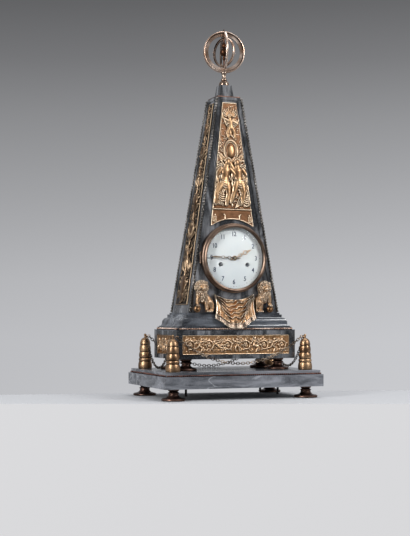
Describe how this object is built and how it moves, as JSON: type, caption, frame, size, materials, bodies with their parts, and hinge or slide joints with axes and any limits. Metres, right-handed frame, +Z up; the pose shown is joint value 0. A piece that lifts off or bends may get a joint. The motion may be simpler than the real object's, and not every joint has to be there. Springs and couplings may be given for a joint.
{
  "type": "obelisk mantel clock",
  "caption": "Marble obelisk clock on a footed plinth with chained bollards, gilt reliefs and lions, a round dial and movement, and an armillary sphere on top.",
  "frame": {"origin": "on the floor under the middle of the slab", "axes": "+Z up, front of the clock towards -Y, +X to the right seen from the front"},
  "size_m": [0.2902, 0.1958, 0.6515],
  "materials": {
    "marble": "polished blue-grey marble with pale veins",
    "gilt": "fire-gilt bronze, part burnished and part matt",
    "dark_bronze": "reddish brown patinated bronze",
    "chain_brass": "dull brass wire",
    "enamel": "glossy white enamel",
    "hand_gilt": "pierced and gilt",
    "clear_glass": "clear domed glass",
    "movement_brass": "polished brass",
    "bell_metal": "pale bell metal",
    "steel": "plain steel"
  },
  "bodies": {
    "case": {"slab_feet": "dark_bronze", "base_slab": "marble", "base_plate": "marble", "plate_beads": "dark_bronze", "bollards": "gilt", "pedestal_feet": "dark_bronze", "tie_rods": "steel", "pedestal_box": "marble", "frieze_front": "gilt", "frieze_left": "gilt", "frieze_right": "gilt", "cornice": "marble", "cornice_beads": "gilt", "obelisk_body": "marble", "corner_beads": "dark_bronze", "relief_front": "gilt", "relief_left": "gilt", "relief_right": "gilt", "lion_left": "gilt", "lion_right": "gilt", "lion_skin": "gilt", "cap_plate": "dark_bronze", "cap_block": "marble", "finial_stem": "gilt", "armillary_frame": "gilt", "bezel_ring": "gilt", "dial": "enamel", "front_plate": "movement_brass", "back_plate": "movement_brass", "bell": "bell_metal", "bell_stand": "steel", "rear_ring": "movement_brass", "case_straps": "movement_brass"},
    "chain_front_body": {"chain_front": "chain_brass"},
    "chain_back_body": {"chain_back": "chain_brass"},
    "chain_left_body": {"chain_left": "chain_brass"},
    "chain_right_body": {"chain_right": "chain_brass"},
    "sphere_core": {"inner_ring": "gilt", "globe": "gilt"},
    "front_door": {"bezel_door": "gilt", "bezel_glass": "clear_glass"},
    "back_door": {"rear_door": "movement_brass"},
    "minutes": {"minute_hand": "hand_gilt", "cannon_pinion": "steel"},
    "hours": {"hour_hand": "hand_gilt", "hour_wheel": "movement_brass"},
    "minute_idler": {"minute_wheel": "movement_brass"},
    "going_key": {"going_arbor": "steel"},
    "strike_key": {"strike_arbor": "steel"},
    "going_drum": {"going_barrel": "movement_brass"},
    "strike_drum": {"strike_barrel": "movement_brass"},
    "second_body": {"second_wheel": "movement_brass"},
    "centre_body": {"centre_wheel": "movement_brass"},
    "third_body": {"third_wheel": "movement_brass"},
    "escape_body": {"escape_wheel": "movement_brass"},
    "count_body": {"count_wheel": "movement_brass"},
    "anchor_and_pendulum": {"pallet_anchor": "steel", "pendulum": "movement_brass"},
    "hammer_body": {"hammer": "steel"}
  },
  "joints": [
    {"name": "chain_front_swing", "type": "hinge", "parent": "case", "child": "chain_front_body", "pos_m": [0, -0.0724, 0.1051], "axis": [1, 0, 0], "range_deg": [-20, 12]},
    {"name": "chain_back_swing", "type": "hinge", "parent": "case", "child": "chain_back_body", "pos_m": [0, 0.0724, 0.1051], "axis": [1, 0, 0], "range_deg": [-12, 20]},
    {"name": "chain_left_swing", "type": "hinge", "parent": "case", "child": "chain_left_body", "pos_m": [-0.1223, 0, 0.1051], "axis": [0, 1, 0], "range_deg": [-8, 18]},
    {"name": "chain_right_swing", "type": "hinge", "parent": "case", "child": "chain_right_body", "pos_m": [0.1223, 0, 0.1051], "axis": [0, 1, 0], "range_deg": [-18, 8]},
    {"name": "sphere_turn", "type": "hinge", "parent": "case", "child": "sphere_core", "pos_m": [0, 0, 0.6095], "axis": [0, 0, 1], "continuous": true},
    {"name": "bezel_hinge", "type": "hinge", "parent": "case", "child": "front_door", "pos_m": [-0.0622, -0.0448, 0.241], "axis": [0, 0, -1], "range_deg": [0, 110]},
    {"name": "rear_hinge", "type": "hinge", "parent": "case", "child": "back_door", "pos_m": [0.056, 0.0433, 0.241], "axis": [0, 0, -1], "range_deg": [0, 110]},
    {"name": "minute_turn", "type": "hinge", "parent": "case", "child": "minutes", "pos_m": [0, -0.04, 0.241], "axis": [0, 1, 0], "continuous": true},
    {"name": "hour_turn", "type": "hinge", "parent": "case", "child": "hours", "pos_m": [0, -0.04, 0.241], "axis": [0, 1, 0], "continuous": true},
    {"name": "idler_turn", "type": "hinge", "parent": "case", "child": "minute_idler", "pos_m": [0, -0.038, 0.253], "axis": [0, 1, 0], "continuous": true},
    {"name": "going_winding", "type": "hinge", "parent": "case", "child": "going_key", "pos_m": [0.025, -0.02, 0.2298], "axis": [0, 1, 0], "continuous": true},
    {"name": "strike_winding", "type": "hinge", "parent": "case", "child": "strike_key", "pos_m": [-0.025, -0.02, 0.2298], "axis": [0, 1, 0], "continuous": true},
    {"name": "third_turn", "type": "hinge", "parent": "case", "child": "third_body", "pos_m": [-0.01217, -0.02, 0.25624], "axis": [0, 1, 0], "continuous": true},
    {"name": "centre_turn", "type": "hinge", "parent": "case", "child": "centre_body", "pos_m": [0, -0.02, 0.241], "axis": [0, 1, 0], "continuous": true},
    {"name": "second_turn", "type": "hinge", "parent": "case", "child": "second_body", "pos_m": [0.01926, -0.02, 0.25311], "axis": [0, 1, 0], "continuous": true},
    {"name": "going_turn", "type": "hinge", "parent": "case", "child": "going_drum", "pos_m": [0.025, -0.02, 0.2298], "axis": [0, 1, 0], "continuous": true},
    {"name": "escape_turn", "type": "hinge", "parent": "case", "child": "escape_body", "pos_m": [0, -0.02, 0.266], "axis": [0, 1, 0], "continuous": true},
    {"name": "strike_turn", "type": "hinge", "parent": "case", "child": "strike_drum", "pos_m": [-0.025, -0.02, 0.2298], "axis": [0, 1, 0], "continuous": true},
    {"name": "count_turn", "type": "hinge", "parent": "case", "child": "count_body", "pos_m": [-0.00957, -0.02, 0.21141], "axis": [0, 1, 0], "continuous": true},
    {"name": "pendulum_swing", "type": "hinge", "parent": "case", "child": "anchor_and_pendulum", "pos_m": [0, -0.01, 0.2786], "axis": [0, 1, 0], "range_deg": [-4, 4]},
    {"name": "hammer_swing", "type": "hinge", "parent": "case", "child": "hammer_body", "pos_m": [-0.024, -0.01, 0.272], "axis": [0, 1, 0], "range_deg": [-12, 0]}
  ],
  "couplings": [
    {"joint": "hour_turn", "follows": "minute_turn", "ratio": 0.083333},
    {"joint": "idler_turn", "follows": "minute_turn", "ratio": -0.33333},
    {"joint": "centre_turn", "follows": "third_turn", "ratio": -0.083333},
    {"joint": "second_turn", "follows": "third_turn", "ratio": 0.013889},
    {"joint": "going_turn", "follows": "third_turn", "ratio": -0.002778},
    {"joint": "escape_turn", "follows": "third_turn", "ratio": -12},
    {"joint": "count_turn", "follows": "strike_turn", "ratio": -5}
  ]
}
